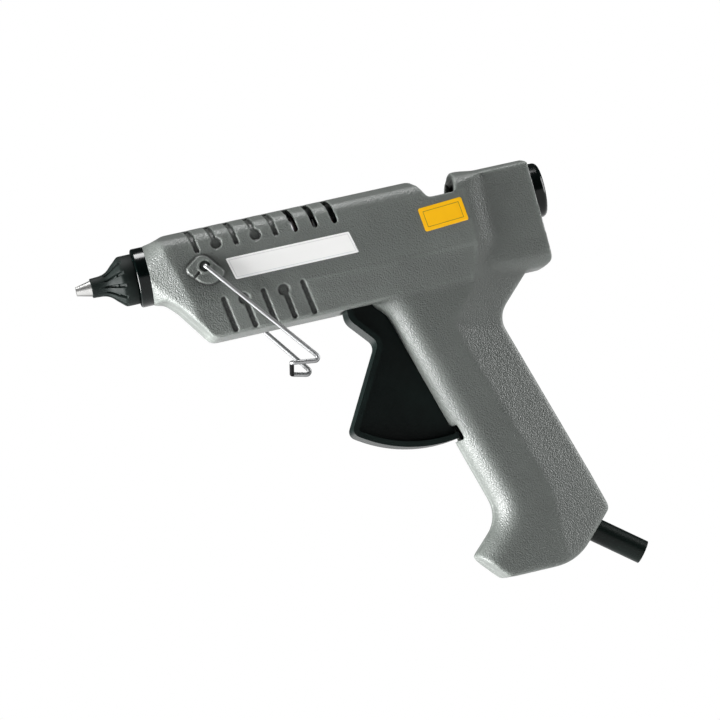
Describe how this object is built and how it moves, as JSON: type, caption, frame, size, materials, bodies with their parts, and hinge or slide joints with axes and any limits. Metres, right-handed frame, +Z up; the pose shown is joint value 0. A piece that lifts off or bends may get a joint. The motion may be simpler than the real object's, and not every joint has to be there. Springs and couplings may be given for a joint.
{
  "type": "hot melt glue gun",
  "caption": "Pistol shaped hot melt glue gun with slotted barrel, fluted nozzle cap, wide trigger, wire stand and cable sleeve.",
  "frame": {"origin": "centre of the stick inlet, in the plane of the rear ring's rear face", "axes": "+X rearwards along the glue stick's axis, out of the inlet; +Y to the gun's right side; +Z up, away from the grip"},
  "size_m": [0.2511, 0.0486, 0.2117],
  "materials": {
    "housing_grey": "fine grained, dull",
    "trigger_black": "smooth, half matt",
    "gloss_black": "polished",
    "cap_rubber": "matt moulded rubber",
    "cable_rubber": "matt",
    "nozzle_metal": "turned, bright",
    "bright_steel": "drawn wire, bright",
    "zinc_steel": "zinc plated",
    "cast_aluminium": "cast and turned",
    "heater_metal": "rolled sheet",
    "silicone_red": "silicone",
    "fitting_plastic": "moulded nylon",
    "fitting_black": "moulded nylon"
  },
  "bodies": {
    "housing": {"housing_left": "housing_grey", "housing_right": "housing_grey", "housing_screws": "zinc_steel", "nozzle": "nozzle_metal", "valve_spring": "bright_steel", "nozzle_cap": "cap_rubber", "collar": "gloss_black", "melt_chamber": "cast_aluminium", "thermostat": "bright_steel", "heater_left": "heater_metal", "heater_right": "heater_metal", "heater_clips": "bright_steel", "front_mount": "silicone_red", "rear_mount": "silicone_red", "inlet_sleeve": "silicone_red", "sleeve_clip": "bright_steel", "return_spring": "bright_steel", "pivot_pin": "bright_steel", "rear_ring": "gloss_black", "cable_sleeve": "cable_rubber", "cord_clamp": "fitting_plastic", "clamp_screws": "zinc_steel", "terminal_block": "fitting_plastic"},
    "valve": {"valve_ball": "bright_steel"},
    "trigger": {"trigger": "trigger_black"},
    "carriage": {"carriage": "fitting_black", "link_pin": "bright_steel", "clamp_pin": "bright_steel"},
    "jaw": {"stick_clamp": "zinc_steel"},
    "stand": {"stand_wire": "bright_steel"}
  },
  "joints": [
    {"name": "trigger_pivot", "type": "hinge", "parent": "housing", "child": "trigger", "pos_m": [-0.081, 0, -0.0465], "axis": [0, -1, 0], "range_deg": [0, 24], "stiffness_Nm_per_rad": 0.8, "springref_deg": -20.05, "deforming": ["return_spring"]},
    {"name": "carriage_slide", "type": "slide", "parent": "housing", "child": "carriage", "axis": [-1, 0, 0], "range_m": [0, 0.0137]},
    {"name": "jaw_pivot", "type": "hinge", "parent": "carriage", "child": "jaw", "pos_m": [-0.0705, 0, 0.0118], "axis": [0, -1, 0], "range_deg": [0, 8.1]},
    {"name": "stand_swing", "type": "hinge", "parent": "housing", "child": "stand", "pos_m": [-0.176, 0, -0.0031], "axis": [0, 1, 0], "range_deg": [-25, 75]},
    {"name": "valve_slide", "type": "slide", "parent": "housing", "child": "valve", "axis": [-1, 0, 0], "range_m": [0, 0.0012], "stiffness_N_per_m": 100, "springref_m": -0.0005}
  ],
  "couplings": [
    {"joint": "carriage_slide", "follows": "trigger_pivot", "m_per_rad": 0.03248},
    {"joint": "jaw_pivot", "follows": "trigger_pivot", "ratio": 0.333}
  ]
}
